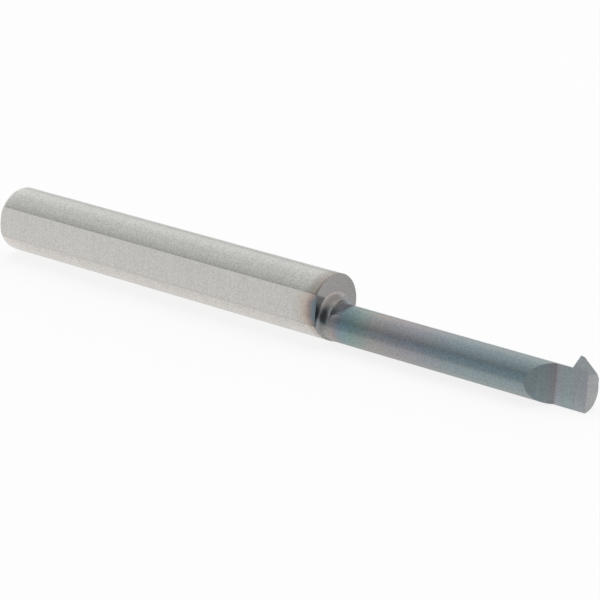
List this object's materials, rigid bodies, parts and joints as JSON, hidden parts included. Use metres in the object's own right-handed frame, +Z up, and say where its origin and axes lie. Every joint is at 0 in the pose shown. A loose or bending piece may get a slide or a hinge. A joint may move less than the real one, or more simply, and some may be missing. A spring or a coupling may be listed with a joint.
{
  "type": "internal threading tool",
  "caption": "Solid round bar with a full-length clamping flat, a thinner neck set off to one side and a pointed 60 degree tooth at its end, for cutting internal threads.",
  "frame": {"origin": "centre of the back end face, on the shank's axis", "axes": "+X along the shank toward the cutting end, +Z up with the tooth on top, -Y on the side of the clamping flat and the rake face. The bar lies on the round of its shank, rolled about X to where its centre of mass brings it"},
  "size_m": [0.0699, 0.0063, 0.0064],
  "materials": {
    "carbide": "ground bright grey tungsten carbide, with a thin blue-grey to violet hard coating on the neck and head that fades out on the shoulder"
  },
  "bodies": {
    "root": {"threading_bar": "carbide"}
  },
  "joints": []
}
